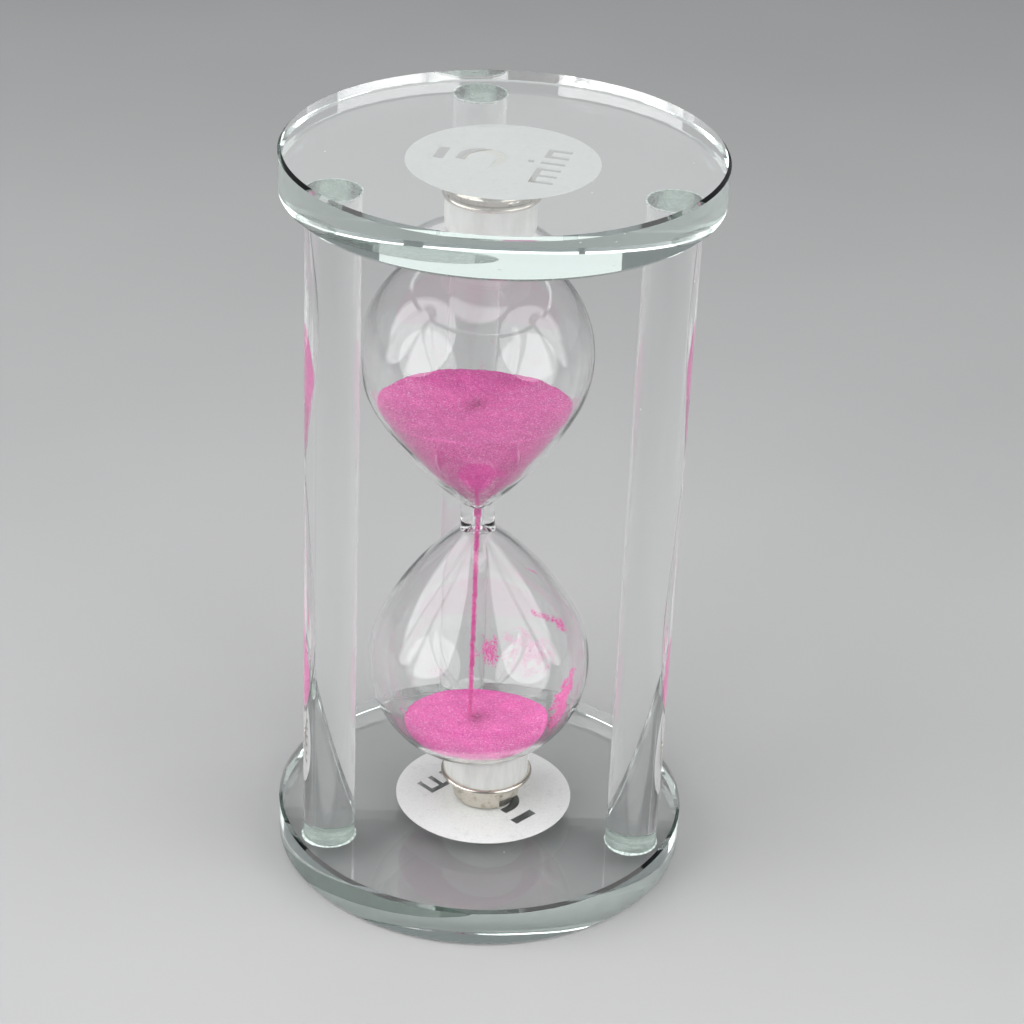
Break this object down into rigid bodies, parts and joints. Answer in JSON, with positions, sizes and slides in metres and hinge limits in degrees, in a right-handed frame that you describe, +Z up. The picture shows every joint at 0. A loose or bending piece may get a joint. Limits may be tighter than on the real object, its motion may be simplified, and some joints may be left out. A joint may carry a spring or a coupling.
{
  "type": "hourglass",
  "caption": "Crystal hourglass: a blown glass bulb with pink sand, cupped in metal between two thick round glass discs joined by solid glass rods.",
  "frame": {"origin": "centre of the face that the hourglass stands on", "axes": "+Z up along the frame's axis, from the lower disc to the upper one; -Y faces the viewer, who sees one rod at the left, one at the right and one behind"},
  "size_m": [0.08, 0.08, 0.145],
  "materials": {
    "crystal_glass": "polished clear crystal with a faint green edge",
    "bulb_glass": "clear blown glass",
    "clear_glue": "cured clear UV glue with fine bubbles",
    "label_film": "satin opaque white film",
    "adhesive_pad": "double-sided adhesive",
    "cup_metal": "nickel-plated steel",
    "white_collar": "soft matte white",
    "stopper_rubber": "matte",
    "pink_sand": "fine dyed quartz sand"
  },
  "bodies": {
    "root": {"bottom_disc": "crystal_glass", "bottom_label": "label_film", "bottom_cup_pad": "adhesive_pad", "bottom_cup": "cup_metal", "bottom_collar": "white_collar", "top_disc": "crystal_glass", "top_label": "label_film", "top_cup_pad": "adhesive_pad", "top_cup": "cup_metal", "top_collar": "white_collar", "rod_left": "crystal_glass", "glue_bottom_left": "clear_glue", "glue_top_left": "clear_glue", "rod_right": "crystal_glass", "glue_bottom_right": "clear_glue", "glue_top_right": "clear_glue", "rod_back": "crystal_glass", "glue_bottom_back": "clear_glue", "glue_top_back": "clear_glue", "glass_bulb": "bulb_glass", "filler_stopper": "stopper_rubber", "upper_sand": "pink_sand", "lower_sand": "pink_sand", "sand_stream": "pink_sand"}
  },
  "joints": []
}
